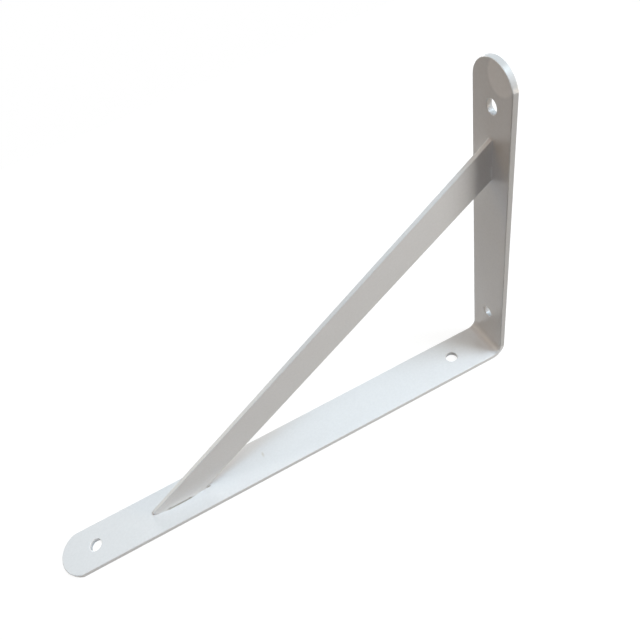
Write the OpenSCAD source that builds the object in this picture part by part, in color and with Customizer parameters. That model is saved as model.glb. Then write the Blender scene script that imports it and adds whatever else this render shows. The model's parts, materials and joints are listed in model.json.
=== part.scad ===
// Braced shelf bracket: a flat bar bent into an L, with a flat-bar brace welded on edge across the corner.
// The long leg lies on its outer face along +X, and the short leg stands up along +Z.

/* [Angle bar] */
// Length of the long leg, from the outer corner to its tip
long_leg = 325; // [280:5:450]
// Length of the short leg, from the outer corner to its tip
short_leg = 205; // [185:5:300]
// Width of the flat bar
bar_w = 30; // [24:1:45]
// Thickness of the flat bar
bar_t = 3.5; // [2.5:0.5:6]
// Inside radius of the bend
bend_r = 6; // [2:0.5:12]
// Radius of the rolled bar's softened long edges
bar_edge_r = 0.5; // [0.2:0.1:1]
// How far each rounded end stands out past its two shoulders
end_rise = 9; // [4:0.5:12]

/* [Holes] */
// Diameter of the fixing holes
hole_d = 8; // [5:0.5:10]
// Radius on the rims of the holes
hole_rim_r = 0.4; // [0.2:0.1:0.8]
// Distance from a leg's tip to the centre of its outer hole
tip_inset = 23; // [18:0.5:30]
// Distance from the outer corner to the centre of a leg's inner hole
corner_inset = 33; // [28:0.5:45]

/* [Brace] */
// Width of the brace bar, which stands on edge
brace_w = 20.5; // [12:0.5:30]
// Thickness of the brace bar
brace_t = 3; // [2:0.5:5]
// Radius of the brace bar's softened long edges
brace_edge_r = 0.4; // [0.2:0.1:0.8]
// Where the brace's upper edge meets the long leg, from the outer corner
brace_foot = 264.5; // [200:0.5:268]
// Where the brace's upper edge meets the short leg, from the outer corner
brace_head = 165; // [130:2.5:170]
// Length ground off the sharp point of the brace's foot
toe_blunt = 2.5; // [0.5:0.25:4]

/* [Welds] */
// Leg of each fillet bead
weld_leg = 0.8; // [0.5:0.1:3]
// Length of each fillet bead
weld_len = 8; // [7:0.5:16]
// Distance from the brace's softened lower edge to the bead
weld_setback = 0.3; // [0.1:0.1:2]

/* [Hidden] */
$fn = 96;

white_coat = [0.89, 0.90, 0.91];

// Spare length on anything that cuts or is trimmed
over = 1;

// The bend runs between the two flat legs
bend_outer_r = bend_r + bar_t;

// Arc of the rounded ends, through the tip and both shoulders
half_w = bar_w / 2;
end_r = (half_w * half_w + end_rise * end_rise) / (2 * end_rise);

// Line of the brace's upper edge between the inner faces of the legs
brace_run = brace_foot - bar_t;
brace_climb = brace_head - bar_t;
brace_len = sqrt(brace_run * brace_run + brace_climb * brace_climb);
brace_slope = atan2(brace_climb, brace_run);

// Heels, where the brace's lower edge meets the legs, from the outer corner
foot_heel = brace_foot - brace_w / sin(brace_slope);
head_heel = brace_head - brace_w / cos(brace_slope);

// Rounded nose on the brace's foot
nose_r = brace_t / 2;
nose_x = brace_foot - toe_blunt - nose_r;

// Hollow face of a bead: radius and the centre of its arc on both axes
weld_hollow_r = 1.6 * weld_leg;
weld_hollow_c = (weld_leg + sqrt(2 * weld_hollow_r * weld_hollow_r - weld_leg * weld_leg)) / 2;

// Moves the corner datum to the middle of the long leg's outer face
module in_part_frame() {
    translate([-long_leg / 2, 0, 0])
        children();
}

// Turns what is drawn on the long leg onto the short leg
module on_short_leg() {
    rotate(180, [1, 0, 1])
        children();
}

// Section of a rolled flat bar, standing on the x axis
module bar_profile(w, t, edge_r) {
    translate([-w / 2 + edge_r, 0])
        square([w - 2 * edge_r, t]);
    translate([-w / 2, edge_r])
        square([w, t - 2 * edge_r]);
    for (x = [-w / 2 + edge_r, w / 2 - edge_r], y = [edge_r, t - edge_r])
        translate([x, y])
            circle(edge_r);
}

// Runs a section along +X for a given length
module along_x(length) {
    rotate([90, 0, 90])
        linear_extrude(length)
            children();
}

// Disc of the bar's thickness whose softened rim makes a rounded end
module end_disc() {
    rotate_extrude()
        intersection() {
            bar_profile(2 * end_r, bar_t, bar_edge_r);
            square([end_r, bar_t]);
        }
}

// One straight leg from the bend to its rounded tip
module leg(length) {
    intersection() {
        translate([bend_outer_r, 0, 0])
            along_x(length - bend_outer_r)
                bar_profile(bar_w, bar_t, bar_edge_r);
        union() {
            translate([length - end_r, 0, 0])
                end_disc();
            translate([bend_outer_r - over, -bar_w, -over])
                cube([length - end_r - bend_outer_r + over, 2 * bar_w, bar_t + 2 * over]);
        }
    }
}

// Quarter turn of the bar between the legs
module bend() {
    translate([bend_outer_r, 0, bend_outer_r])
        rotate([90, 180, 0])
            rotate_extrude(angle = 90)
                translate([bend_r, 0])
                    rotate(-90)
                        bar_profile(bar_w, bar_t, bar_edge_r);
}

// Cutter for one hole, with a radius on both rims
module hole() {
    rim = hole_d / 2 + hole_rim_r;
    translate([0, 0, -over])
        cylinder(d = hole_d, h = bar_t + 2 * over);
    rotate_extrude()
        difference() {
            square([rim, bar_t]);
            translate([rim, hole_rim_r])
                circle(hole_rim_r);
            translate([rim, bar_t - hole_rim_r])
                circle(hole_rim_r);
            translate([hole_d / 2, hole_rim_r])
                square([rim, bar_t - 2 * hole_rim_r]);
        }
}

// Both holes of one leg
module leg_holes(length) {
    for (x = [length - tip_inset, corner_inset])
        translate([x, 0, 0])
            hole();
}

// Bent flat bar with its four holes
module angle_bar() {
    color(white_coat)
        in_part_frame()
            difference() {
                union() {
                    leg(long_leg);
                    on_short_leg()
                        leg(short_leg);
                    bend();
                }
                leg_holes(long_leg);
                on_short_leg()
                    leg_holes(short_leg);
            }
}

// Straight bar of the brace before it is mitred, past both ends of its upper edge
module brace_blank() {
    translate([brace_foot, 0, bar_t])
        rotate([0, 180 + brace_slope, 0])
            translate([-brace_w, 0, brace_w / 2])
                along_x(brace_len + 2 * brace_w)
                    rotate(90)
                        translate([0, -brace_t / 2])
                            bar_profile(brace_w, brace_t, brace_edge_r);
}

// Brace on edge, mitred onto both inner faces, with a rounded nose at the foot
module brace() {
    color(white_coat)
        in_part_frame()
            intersection() {
                brace_blank();
                union() {
                    translate([bar_t, -brace_t, bar_t])
                        cube([nose_x - bar_t, 2 * brace_t, short_leg]);
                    translate([nose_x, 0, bar_t])
                        cylinder(r = nose_r, h = short_leg);
                }
            }
}

// Hollow-faced triangle that fills the corner between a brace side and a leg
module weld_profile() {
    difference() {
        square(weld_leg);
        translate([weld_hollow_c, weld_hollow_c])
            circle(weld_hollow_r);
    }
}

// One bead along +X on the brace's +Y side, with rounded run-outs
module weld_bead() {
    run = weld_len - 2 * weld_leg;
    translate([weld_leg, 0, 0])
        along_x(run)
            weld_profile();
    translate([weld_leg, 0, 0])
        rotate(90)
            rotate_extrude(angle = 90)
                weld_profile();
    translate([weld_leg + run, 0, 0])
        rotate_extrude(angle = 90)
            weld_profile();
}

// A bead on each side of the brace, starting by its heel on the leg's inner face
module weld_pair(start) {
    for (side = [0, 1])
        mirror([0, side, 0])
            translate([start, brace_t / 2, bar_t])
                weld_bead();
}

// Beads that join the brace's foot to the long leg
module foot_welds() {
    color(white_coat)
        in_part_frame()
            weld_pair(foot_heel + brace_edge_r / sin(brace_slope) + weld_setback);
}

// Beads that join the brace's head to the short leg
module head_welds() {
    color(white_coat)
        in_part_frame()
            on_short_leg()
                weld_pair(head_heel + brace_edge_r / cos(brace_slope) + weld_setback);
}

angle_bar();
brace();
foot_welds();
head_welds();
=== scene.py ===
import json
import math

import bmesh
import bpy
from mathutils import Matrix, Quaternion, Vector


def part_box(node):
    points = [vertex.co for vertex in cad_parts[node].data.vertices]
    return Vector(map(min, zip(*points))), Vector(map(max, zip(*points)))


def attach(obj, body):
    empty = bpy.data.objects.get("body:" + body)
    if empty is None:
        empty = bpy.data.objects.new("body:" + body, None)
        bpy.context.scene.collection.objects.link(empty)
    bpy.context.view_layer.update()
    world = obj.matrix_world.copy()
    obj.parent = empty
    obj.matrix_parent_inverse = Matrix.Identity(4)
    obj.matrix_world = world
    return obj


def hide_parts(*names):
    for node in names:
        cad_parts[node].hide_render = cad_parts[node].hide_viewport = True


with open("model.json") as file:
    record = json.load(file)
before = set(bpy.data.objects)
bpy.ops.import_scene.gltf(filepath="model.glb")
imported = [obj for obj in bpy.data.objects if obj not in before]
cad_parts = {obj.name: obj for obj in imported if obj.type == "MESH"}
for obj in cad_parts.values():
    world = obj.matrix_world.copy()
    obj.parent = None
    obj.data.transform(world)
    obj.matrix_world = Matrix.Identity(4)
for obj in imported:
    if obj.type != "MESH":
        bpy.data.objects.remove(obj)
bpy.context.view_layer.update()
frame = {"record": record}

# The angle bar: a length of rolled flat steel bar, cropped to round ends a little off its middle line,
# punched with four holes, bent cold into an L and, once welded, powder coated white with the rest. Rolling
# leaves its long edges soft, and the bend draws its outer face a little thin.
MM = 0.001
bar_low, bar_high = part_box("angle_bar")
brace_low, brace_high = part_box("brace")
corner_x = bar_low.x
long_leg = bar_high.x - bar_low.x
short_leg = bar_high.z
half_width = bar_high.y
bar_thick = brace_low.z
bar_edge = 0.5 * MM
end_rise = 9.4 * MM
end_offset = -0.85 * MM
end_radius = (half_width ** 2 + end_rise ** 2) / (2 * end_rise)
far_half = half_width + end_offset
far_depth = far_half ** 2 / end_radius
bend_inner = 6 * MM
bend_outer = bend_inner + bar_thick
bend_thinning = 0.4 * MM
hole_edge = 0.4 * MM
mounts = {mount["name"]: mount for mount in frame["record"]["mounts"]}
hole_radius = mounts["long_leg_holes"]["dims"]["hole_r_mm"] * MM

# How finely the bar is divided: across, round edges and ends, through and by the bend, and round the holes
lanes = 16
edge_steps = 6
end_steps = 16
bend_steps = 28
by_bend_steps = 2
plain_step = 9 * MM
panel_half = 14 * MM
ring_shares = (0, 0.3, 0.55, 0.75, 0.9)
same_point = 0.002 * MM
crease = math.radians(17)


def hole_places(mount_name, axis, spacing_name):
    """Distances of a leg's inner and outer hole from the outer corner."""
    mount = mounts[mount_name]
    middle = mount["pos_m"][axis] - bar_low[axis]
    half_spacing = mount["dims"][spacing_name] * MM / 2
    return middle - half_spacing, middle + half_spacing


def bent(run, y, height):
    """A point of the flat bar once it is bent: run from the outer corner, height above the outer face."""
    if run >= bend_outer:
        return Vector((corner_x + run, y, height))
    if run <= -bend_outer:
        return Vector((corner_x + height, y, -run))
    turn = (run / bend_outer + 1) * math.pi / 4
    thinning = bend_thinning * math.sin(2 * turn) ** 2 * (1 - height / bar_thick)
    reach = bend_outer - height - thinning
    return Vector((corner_x + bend_outer - reach * math.cos(turn), y, bend_outer - reach * math.sin(turn)))


def spread(start, end, steps):
    """Evenly spaced values from start to end."""
    return [start + (end - start) * k / steps for k in range(steps + 1)]


def quarter_round(radius):
    """Distances from the two faces of a corner to each point of the round that fits into it."""
    turns = spread(0, math.pi / 2, edge_steps)
    return [(radius * (1 - math.sin(turn)), radius * (1 - math.cos(turn))) for turn in turns]


def edge_profile(radius):
    """Inset and height of each point round a softened edge, from the inner face to the outer face."""
    inner = [(inset, bar_thick - drop) for inset, drop in quarter_round(radius)]
    outer = [(inset, bar_thick - height) for inset, height in reversed(inner)]
    return inner + outer


def leg_stretches(length, holes, side, inset):
    """Stations along a leg's side: by the bend, past one hole, along the middle, past the other hole."""
    inner_hole, outer_hole = holes
    off_tip = half_width - inset - end_offset
    near_shoulder = length - end_radius + math.sqrt((end_radius - inset) ** 2 - off_tip ** 2)
    shoulder = near_shoulder if side > 0 else length - far_depth
    middle_start = inner_hole + panel_half
    middle_end = outer_hole - panel_half
    marks = (bend_outer, inner_hole - panel_half, middle_start, middle_end, shoulder)
    counts = (by_bend_steps, lanes, round((middle_end - middle_start) / plain_step), lanes)
    return [spread(start, end, steps) for start, end, steps in zip(marks, marks[1:], counts)]


def end_arc(way, length, inset):
    """Points round a leg's end: round from its +Y shoulder to the tip, then oval to its -Y side."""
    radius = end_radius - inset
    points = []
    for turn in spread(math.asin((half_width - inset - end_offset) / radius), 0, end_steps):
        run = length - end_radius + radius * math.cos(turn)
        points.append((way * run, end_offset + radius * math.sin(turn)))
    for turn in spread(0, math.pi / 2, end_steps)[1:]:
        run = length - far_depth + (far_depth - inset) * math.cos(turn)
        points.append((way * run, end_offset - (far_half - inset) * math.sin(turn)))
    return points


bend_runs = spread(-bend_outer, bend_outer, bend_steps)
# Way along the flat bar from the outer corner, length and hole places of each leg
legs = (
    (1, long_leg, hole_places("long_leg_holes", 0, "spacing_x_mm")),
    (-1, short_leg, hole_places("short_leg_holes", 2, "spacing_y_mm")),
)


def outline(inset):
    """Closed loop round the flat bar."""
    rails = {}
    for side in (1, -1):
        runs = {}
        for way, length, holes in legs:
            stretches = leg_stretches(length, holes, side, inset)
            runs[way] = [way * run for stretch in stretches for run in stretch[1:]]
        rail = runs[-1][::-1] + bend_runs + runs[1]
        rails[side] = [(run, side * (half_width - inset)) for run in rail]
    arcs = {way: end_arc(way, length, inset) for way, length, _ in legs}
    return rails[1] + arcs[1][1:-1] + rails[-1][::-1] + arcs[-1][::-1][1:]


def hole_rows(rim, hole_run):
    """Rows from a panel's rim on the inner face, down the hole's wall, to its rim on the outer face."""
    def ring(radius, height, share):
        points = []
        for run, y in rim:
            turn = math.atan2(y, run - hole_run)
            on_ring = (hole_run + radius * math.cos(turn), radius * math.sin(turn))
            points.append(bent(run + (on_ring[0] - run) * share, y + (on_ring[1] - y) * share, height))
        return points

    mouth = hole_radius + hole_edge
    inner_face = [ring(mouth, bar_thick, share) for share in ring_shares]
    wall = [ring(hole_radius + inset, height, 1) for inset, height in edge_profile(hole_edge)]
    outer_face = [ring(mouth, 0, share) for share in reversed(ring_shares)]
    return inner_face + wall + outer_face


def skin(mesh, rows):
    """Covers rows of points, each as long as the next, with four-sided faces."""
    grid = [[mesh.verts.new(point) for point in row] for row in rows]
    for near, far in zip(grid, grid[1:]):
        for k in range(len(near) - 1):
            mesh.faces.new((near[k], near[k + 1], far[k + 1], far[k]))
    return grid


def finished_piece(name, mesh):
    """Joins the patches of a mesh into one closed skin and makes the object."""
    bmesh.ops.remove_doubles(mesh, verts=mesh.verts, dist=same_point)
    bmesh.ops.recalc_face_normals(mesh, faces=mesh.faces)
    data = bpy.data.meshes.new(name)
    mesh.to_mesh(data)
    mesh.free()
    data.shade_smooth()
    data.set_sharp_from_angle(angle=crease)
    piece = bpy.data.objects.new(name, data)
    bpy.context.scene.collection.objects.link(piece)
    flat_faces = piece.modifiers.new("flat_faces", "WEIGHTED_NORMAL")
    flat_faces.weight = 100
    flat_faces.keep_sharp = True
    return piece


def add_node(tree, kind, inputs, **settings):
    """A shader node with its inputs and settings; an input is a value or another node's output."""
    made = tree.nodes.new(kind)
    for setting, value in settings.items():
        setattr(made, setting, value)
    for socket, value in inputs.items():
        if isinstance(value, bpy.types.NodeSocket):
            tree.links.new(value, made.inputs[socket])
        else:
            made.inputs[socket].default_value = value
    return made


# Tones of the coat, its clouding and orange peel, a smudge, and the painted light and shade on it
coat_white = (0.80, 0.81, 0.82, 1)
coat_thin = (0.77, 0.775, 0.78, 1)
cloud_scale = 45
cloud_detail = 3
peel_scale = 650
peel_detail = 2
peel_low = 0.3
peel_high = 0.7
peel_shade = 0.035
peel_depth = 0.05 * MM
peel_strength = 0.25
smooth_roughness = 0.19
peel_roughness = 0.25
# Painted light: a lighter oval patch of coat on the short leg's tip stands in for light that falls
# brighter there
tip_painted_light_place = Vector((bar_low.x + bar_thick, 6.5 * MM, bar_high.z - 6 * MM))
tip_painted_light_reach = Vector((2 * MM, 9.5 * MM, 9.5 * MM))
tip_painted_light_edge = 0.08
tip_painted_light_tone = (0.95, 0.955, 0.96, 1)
smudge_place = Vector((18.5 * MM, -1.5 * MM, bar_thick))
smudge_reach = Vector((0.7 * MM, 1.7 * MM, 1 * MM))
smudge_edge = 0.6
smudge_tone = (0.68, 0.66, 0.62, 1)
# Painted shade: a darker coat colour on the short leg's sideways faces, for the lesser light that falls on
# them
painted_edge_shade_tone = (0.55, 0.55, 0.545, 1)
# Painted shade: a dark brown-grey coat colour that stands in for the shade in the foot's open seam and in
# the wedge by the heel
seam_shade_tone = (0.46, 0.42, 0.37, 1)
seam_shade_edge = 0.3
# Place and reach of the painted shade along the open seam, at its two mouths and in the wedge by the heel
seam_shade_marks = (
    (Vector((80.5 * MM, 2.3 * MM, bar_thick)), Vector((9.5 * MM, 0.4 * MM, 0.9 * MM))),
    (Vector((73.2 * MM, 2.15 * MM, bar_thick)), Vector((1.2 * MM, 0.45 * MM, 0.9 * MM))),
    (Vector((87.6 * MM, 2.2 * MM, bar_thick)), Vector((1.2 * MM, 0.45 * MM, 0.9 * MM))),
    (Vector((59.4 * MM, 1.0 * MM, bar_thick)), Vector((1.5 * MM, 0.45 * MM, 0.5 * MM))),
)


def spot(tree, place, middle, reach, edge_share):
    """1 inside an oval spot on the coat and 0 outside, with a soft edge."""
    away = add_node(tree, "ShaderNodeVectorMath", {0: place, 1: middle}, operation="SUBTRACT").outputs[0]
    in_reaches = add_node(tree, "ShaderNodeVectorMath", {0: away, 1: reach}, operation="DIVIDE").outputs[0]
    length = add_node(tree, "ShaderNodeVectorMath", {0: in_reaches}, operation="LENGTH").outputs["Value"]
    limits = {"From Min": 1 + edge_share, "From Max": 1 - edge_share}
    return add_node(tree, "ShaderNodeMapRange", {"Value": length, **limits}).outputs["Result"]


# Places of the mix node's colour sockets, which come after those for numbers and vectors
first_colour = 6
second_colour = 7
mixed_colour = 2


def blended(tree, share, first, second):
    """Colour that runs from the first to the second as the share runs from 0 to 1."""
    inputs = {"Factor": share, first_colour: first, second_colour: second}
    return add_node(tree, "ShaderNodeMix", inputs, data_type="RGBA").outputs[mixed_colour]


def powder_coat(name):
    """Satin white powder coat: faintly uneven in tone, with the fine orange peel of a baked coat, a
    smudge, painted light on the short leg's tip and painted shade on the short leg's edges and in the
    foot's seam.
    """
    material = bpy.data.materials.new(name)
    material.use_nodes = True
    tree = material.node_tree
    shader = tree.nodes["Principled BSDF"]
    place = add_node(tree, "ShaderNodeTexCoord", {}).outputs["Object"]
    cloud_inputs = {"Vector": place, "Scale": cloud_scale, "Detail": cloud_detail}
    cloud = add_node(tree, "ShaderNodeTexNoise", cloud_inputs).outputs["Fac"]
    peel_inputs = {"Vector": place, "Scale": peel_scale, "Detail": peel_detail}
    peel = add_node(tree, "ShaderNodeTexNoise", peel_inputs).outputs["Fac"]
    tone = blended(tree, cloud, coat_white, coat_thin)
    # Painted light on the short leg's tip
    tip_painted_light = spot(tree, place, tip_painted_light_place, tip_painted_light_reach, tip_painted_light_edge)
    tone = blended(tree, tip_painted_light, tone, tip_painted_light_tone)
    smudge = spot(tree, place, smudge_place, smudge_reach, smudge_edge)
    tone = blended(tree, smudge, tone, smudge_tone)
    # Painted shade in the foot's open seam and by the heel
    for seam_shade_place, seam_shade_reach in seam_shade_marks:
        seam_shade = spot(tree, place, seam_shade_place, seam_shade_reach, seam_shade_edge)
        tone = blended(tree, seam_shade, tone, seam_shade_tone)
    # Painted shade: the short leg's sideways faces, marked on the mesh, take a darker coat colour for the
    # lesser light that falls on them
    sheared = add_node(tree, "ShaderNodeAttribute", {}, attribute_name="sheared").outputs["Fac"]
    tone = blended(tree, sheared, tone, painted_edge_shade_tone)
    grain_limits = {"From Min": peel_low, "From Max": peel_high, "To Min": 1 - peel_shade, "To Max": 1}
    grain = add_node(tree, "ShaderNodeMapRange", {"Value": peel, **grain_limits}).outputs["Result"]
    grained = add_node(tree, "ShaderNodeVectorMath", {0: tone, "Scale": grain}, operation="SCALE")
    gloss_limits = {"To Min": smooth_roughness, "To Max": peel_roughness}
    gloss = add_node(tree, "ShaderNodeMapRange", {"Value": peel, **gloss_limits})
    bump_inputs = {"Height": peel, "Strength": peel_strength, "Distance": peel_depth}
    bump = add_node(tree, "ShaderNodeBump", bump_inputs)
    tree.links.new(grained.outputs[0], shader.inputs["Base Color"])
    tree.links.new(gloss.outputs["Result"], shader.inputs["Roughness"])
    tree.links.new(bump.outputs["Normal"], shader.inputs["Normal"])
    return material


bar = bmesh.new()
edge_rows = edge_profile(bar_edge)
skin(bar, [[bent(run, y, height) for run, y in outline(inset)] for inset, height in edge_rows])
face_reach = half_width - bar_edge
lane_ys = spread(-face_reach, face_reach, lanes)
for face_height in (bar_thick, 0):
    skin(bar, [[bent(run, y, face_height) for y in lane_ys] for run in bend_runs])
for way, length, holes in legs:
    by_bend, inner_panel, middle, plus_panel = leg_stretches(length, holes, 1, bar_edge)
    minus_panel = leg_stretches(length, holes, -1, bar_edge)[-1]
    for stretch in (by_bend, middle):
        for face_height in (bar_thick, 0):
            skin(bar, [[bent(way * run, y, face_height) for y in lane_ys] for run in stretch])
    straight_edge = [(way * inner_panel[-1], y) for y in reversed(lane_ys)]
    panels = (
        (inner_panel, straight_edge, inner_panel, holes[0]),
        (plus_panel, end_arc(way, length, bar_edge), minus_panel, holes[1]),
    )
    for plus_runs, far_edge, minus_runs, hole_place in panels:
        near_edge = [(way * plus_runs[0], y) for y in lane_ys]
        plus_side = [(way * run, face_reach) for run in plus_runs]
        minus_side = [(way * run, -face_reach) for run in reversed(minus_runs)]
        rim = near_edge[:-1] + plus_side[:-1] + far_edge[:-1] + minus_side
        skin(bar, hole_rows(rim, way * hole_place))
bent_bar = finished_piece("bent_bar", bar)
# Painted shade: the short leg's faces that look sideways, along its edges, round its end and in its holes,
# are marked for a darker coat colour, for the lesser light that falls on them; the long leg's are not
edge_facing = 0.5
sheared = bent_bar.data.attributes.new("sheared", "FLOAT", "FACE")
for face in bent_bar.data.polygons:
    on_short_leg = face.center.z > bend_outer
    on_edge = abs(face.normal.x) < edge_facing
    sheared.data[face.index].value = float(on_short_leg and on_edge)
white_coat = powder_coat("white_powder_coat")
bent_bar.data.materials.append(white_coat)
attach(bent_bar, "root")
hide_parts("angle_bar")

# The brace: a shorter length of thinner flat steel bar set on edge across the corner, mitred at both ends
# to sit on the legs, with its sharp toe ground off round. Its foot is fused at the heel and the toe, and
# between them shows an open seam, where the cut edge is a little spread; the coat there carries painted
# shade.
brace_half = brace_high.y
brace_width = 20.5 * MM
brace_edge = 0.4 * MM
toe_blunt = 2.5 * MM
toe_x = brace_high.x + toe_blunt
slope = math.atan2(brace_high.z - brace_low.z, toe_x - brace_low.x)
brace_depth = brace_width / math.cos(slope)
heel_x = toe_x - brace_width / math.sin(slope)
heel_fill = 0.3 * MM
nose_length = 3.2 * MM
nose_drop = 0.9 * MM
nose_x = brace_high.x - nose_length
seam_start = heel_x + 9 * MM
seam_end = heel_x + 26 * MM
seam_fade = 0.8 * MM
seam_height = 0.6 * MM
seam_mouth = 0.25 * MM
spread_out = 0.9 * MM
spread_fullness = 0.6
spread_height = 3 * MM
side_rows = 9
plain_stations = 60
foot_stations = 140
foot_margin = 3 * MM
nose_step_degrees = 6


def seam_lift(x):
    """How far the brace stands off the leg along the open seam, a little more at the seam's two ends."""
    inside = min(x - seam_start, seam_end - x) / seam_fade
    if inside <= 0:
        return 0
    return seam_height * min(1, inside) + seam_mouth * max(0, 1 - abs(inside - 1))


def foot_spread(x, z):
    """How far the cut foot stands out past the brace's side."""
    along = (x - heel_x) / (nose_x - heel_x)
    above = (z - bar_thick) / spread_height
    if not (0 < along < 1 and above < 1):
        return 0
    return spread_out * math.sin(math.pi * along) ** spread_fullness * (1 - above) ** 2


def brace_section(x):
    """Closed loop round the brace where an upright plane across it cuts it."""
    past_nose = max(0, x - nose_x) / nose_length
    narrowing = math.sqrt(max(0, 1 - past_nose ** 2))
    ground_back = brace_half * (1 - narrowing)
    edges = [(brace_half - inset, drop) for inset, drop in quarter_round(brace_edge)]
    top_line = bar_thick + (toe_x - x) * math.tan(slope) - nose_drop * (1 - narrowing)
    bottom_line = top_line - brace_depth
    seat = bar_thick + seam_lift(x)
    bottom = []
    top = []
    for y, drop in [(0, 0)] + edges:
        if bottom_line < bar_thick + heel_fill:
            bottom.append((y, seat))
        else:
            bottom.append((y, bottom_line + drop / math.cos(slope)))
        top.append((y, max(bottom[-1][1], top_line - drop / math.cos(slope))))
    (side_y, side_low), (_, side_high) = bottom[-1], top[-1]
    # The side's rows crowd towards its lower edge, where the foot spreads
    shares = [(k / side_rows) ** 2 for k in range(1, side_rows)]
    side = [(side_y, side_low + (side_high - side_low) * share) for share in shares]
    half = bottom + side + top[::-1]
    other_half = [(-y, z) for y, z in reversed(half)]
    section = []
    for y, z in half + other_half[1:]:
        spread_y = foot_spread(x, z) if y > brace_half / 2 else 0
        section.append(Vector((x, y * narrowing - ground_back + spread_y, z)))
    return section


fine_start = heel_x - foot_margin
stations = spread(brace_low.x, fine_start, plain_stations)
stations += spread(fine_start, nose_x, foot_stations)[1:]
for turn in range(nose_step_degrees, 90, nose_step_degrees):
    stations.append(nose_x + nose_length * math.sin(math.radians(turn)))
brace = bmesh.new()
grid = skin(brace, [brace_section(x) for x in stations])
for end_section in (grid[0], grid[-1]):
    brace.faces.new(end_section[:-1])
brace_bar = finished_piece("brace_bar", brace)
brace_bar.data.materials.append(white_coat)
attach(brace_bar, "root")
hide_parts("brace")

# The weld beads: short runs of weld metal in the corners between the brace and the legs, one on each side
# of each heel, faintly rippled and softened under the coat.
ripple_pitch = 1.2 * MM
ripple_share = 0.07
bead_steps = 60


def bead_rows(run_low, run_high, bead_leg, place):
    """Sections of one bead from end to end; place puts (along, out from the leg, out from the brace)."""
    rows = []
    for along in spread(run_low, run_high, bead_steps)[1:-1]:
        from_end = min(along - run_low, run_high - along, bead_leg)
        round_off = math.sqrt(1 - (1 - from_end / bead_leg) ** 2)
        ripple = 1 - ripple_share * (1 + math.cos(2 * math.pi * (along - run_low) / ripple_pitch)) / 2
        size = bead_leg * round_off * ripple
        section = [(0, 0)] + quarter_round(size) + [(0, 0)]
        rows.append([place(along, out, side) for out, side in section])
    return rows


def weld_beads(name, node, place):
    """The pair of beads that stands for a pair in the CAD model."""
    low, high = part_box(node)
    bead_leg = high.y - brace_half
    axis = max(range(3), key=lambda k: high[k] - low[k])
    mesh = bmesh.new()
    for side_of_brace in (1, -1):
        def placed(along, out, side):
            return place(along, out, side_of_brace * (brace_half + side))
        grid = skin(mesh, bead_rows(low[axis], high[axis], bead_leg, placed))
        for end_section in (grid[0], grid[-1]):
            mesh.faces.new(end_section[:-1])
    beads = finished_piece(name, mesh)
    beads.data.materials.append(white_coat)
    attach(beads, "root")
    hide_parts(node)


weld_beads("foot_beads", "foot_welds", lambda along, out, y: Vector((along, y, bar_thick + out)))
weld_beads("head_beads", "head_welds", lambda along, out, y: Vector((brace_low.x + out, y, along)))

# The studio: a sheet of white paper under the bracket and a white surround. Soft windows stand behind the
# short leg, a warm low one, a cool middle one and a cool high one with a small clear pane. Weaker lamps
# are overhead, behind and in front.
paper_half = 0.6
floor_drop = 0.1 * MM
paper = bmesh.new()
bmesh.ops.create_grid(paper, x_segments=1, y_segments=1, size=paper_half)
floor_data = bpy.data.meshes.new("paper_floor")
paper.to_mesh(floor_data)
paper.free()
paper_floor = bpy.data.objects.new("paper_floor", floor_data)
paper_floor.location.z = -floor_drop
bpy.context.scene.collection.objects.link(paper_floor)


def seen_directly(tree):
    """1 where the ray comes from the camera, a reflection or clear glass, and 0 for lighting."""
    rays = add_node(tree, "ShaderNodeLightPath", {}).outputs
    seen = add_node(
        tree,
        "ShaderNodeMath",
        {0: rays["Is Camera Ray"], 1: rays["Is Glossy Ray"]},
        operation="MAXIMUM",
    )
    return add_node(
        tree,
        "ShaderNodeMath",
        {0: seen.outputs[0], 1: rays["Is Transmission Ray"]},
        operation="MAXIMUM",
    ).outputs[0]


paper_shade = (0.3, 0.3, 0.3, 1)
paper_glow = 0.85
shadow_share = 0.22
paper_material = bpy.data.materials.new("white_paper")
paper_material.use_nodes = True
tree = paper_material.node_tree
tree.nodes.clear()
sheet = add_node(tree, "ShaderNodeBsdfDiffuse", {"Color": paper_shade})
faint = add_node(tree, "ShaderNodeBsdfDiffuse", {"Color": (shadow_share, shadow_share, shadow_share, 1)})
glow = add_node(tree, "ShaderNodeEmission", {"Strength": paper_glow})
lit_white = add_node(tree, "ShaderNodeAddShader", {0: faint.outputs[0], 1: glow.outputs[0]})
both = add_node(
    tree, "ShaderNodeMixShader", {0: seen_directly(tree), 1: sheet.outputs[0], 2: lit_white.outputs[0]}
)
add_node(tree, "ShaderNodeOutputMaterial", {"Surface": both.outputs[0]})
floor_data.materials.append(paper_material)

ambient_colour = (1.0, 0.4, 0.1, 1)
ambient_level = 0.06
world = bpy.data.worlds.new("white_surround")
bpy.context.scene.world = world
world.use_nodes = True
tree = world.node_tree
tree.nodes.clear()
ambient = add_node(tree, "ShaderNodeBackground", {"Color": ambient_colour, "Strength": ambient_level})
surround = add_node(tree, "ShaderNodeBackground", {"Color": (1, 1, 1, 1), "Strength": 1})
both = add_node(
    tree, "ShaderNodeMixShader", {0: seen_directly(tree), 1: ambient.outputs[0], 2: surround.outputs[0]}
)
add_node(tree, "ShaderNodeOutputWorld", {"Surface": both.outputs[0]})

lamp_aim = Vector((-0.04, 0, 0.08))
lamp_distance = 1.6


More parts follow.
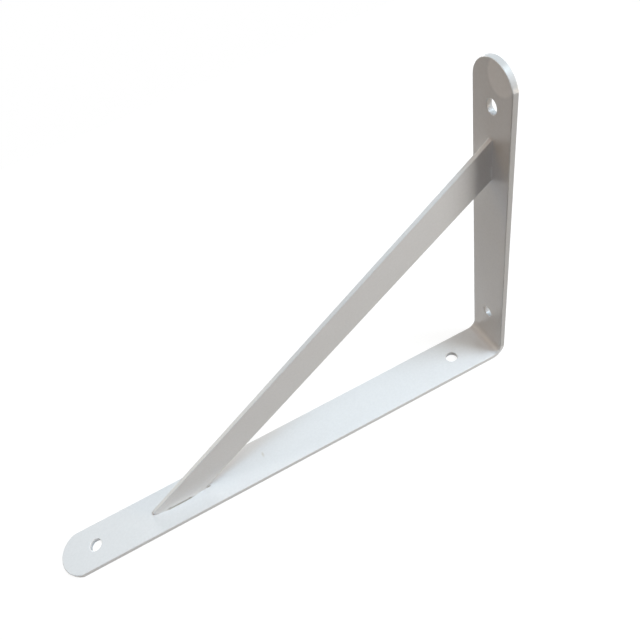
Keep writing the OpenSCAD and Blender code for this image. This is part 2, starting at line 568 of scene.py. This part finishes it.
def soft_lamp(name, azimuth, elevation, width, height, colour, level):
    """A soft lamp that faces the bracket; level is what it puts on a surface that faces it."""
    data = bpy.data.lights.new(name, "AREA")
    data.shape = "RECTANGLE"
    data.size = width
    data.size_y = height
    data.color = colour
    data.energy = level * math.pi * math.pi * lamp_distance ** 2
    lamp = bpy.data.objects.new(name, data)
    flat = math.cos(math.radians(elevation))
    turn = math.radians(azimuth)
    direction = Vector((flat * math.cos(turn), flat * math.sin(turn), math.sin(math.radians(elevation))))
    lamp.location = lamp_aim + direction * lamp_distance
    lamp.rotation_mode = "QUATERNION"
    lamp.rotation_quaternion = direction.to_track_quat("Z", "Y")
    bpy.context.scene.collection.objects.link(lamp)


soft_lamp("low_window", 142, 8, 0.9, 0.4, (1.0, 0.84, 0.65), 0.435)
soft_lamp("mid_window", 148, 42, 0.8, 0.7, (0.82, 0.88, 1.0), 0.19)
soft_lamp("high_window", 156, 67, 0.85, 0.85, (0.80, 0.96, 1.0), 0.51)
soft_lamp("clear_pane", 150, 62, 0.35, 0.35, (0.56, 0.77, 1.0), 0.305)
soft_lamp("overhead", 0, 88, 0.8, 0.8, (1.0, 0.85, 0.74), 0.205)
soft_lamp("back_light", 250, 48, 0.7, 0.7, (0.6, 0.87, 1.0), 0.062)
soft_lamp("rear_fill", 270, 14, 0.6, 0.6, (1.0, 0.995, 0.98), 0.37)
soft_lamp("front_fill", 330, 14, 0.6, 0.6, (1.0, 0.85, 0.6), 0.09)

# The camera: above the bracket on its open side, at the photograph's viewing angle, and turned a little so
# that the short leg stands upright.
camera_place = Vector((-11.912, 198.308, 324.455)) * MM
camera_aim = Vector((-48.443, 0, 101.479)) * MM
camera_roll = math.radians(-18.88)
camera_data = bpy.data.cameras.new("camera")
camera_data.sensor_width = 36
camera_data.lens = 30.389
camera_data.clip_start = 0.01
camera = bpy.data.objects.new("camera", camera_data)
camera.location = camera_place
camera.rotation_mode = "QUATERNION"
level_view = (camera_aim - camera_place).to_track_quat("-Z", "Y")
camera.rotation_quaternion = level_view @ Quaternion((0, 0, 1), camera_roll)
bpy.context.scene.collection.objects.link(camera)
bpy.context.scene.camera = camera
bpy.context.scene.view_settings.view_transform = "Standard"
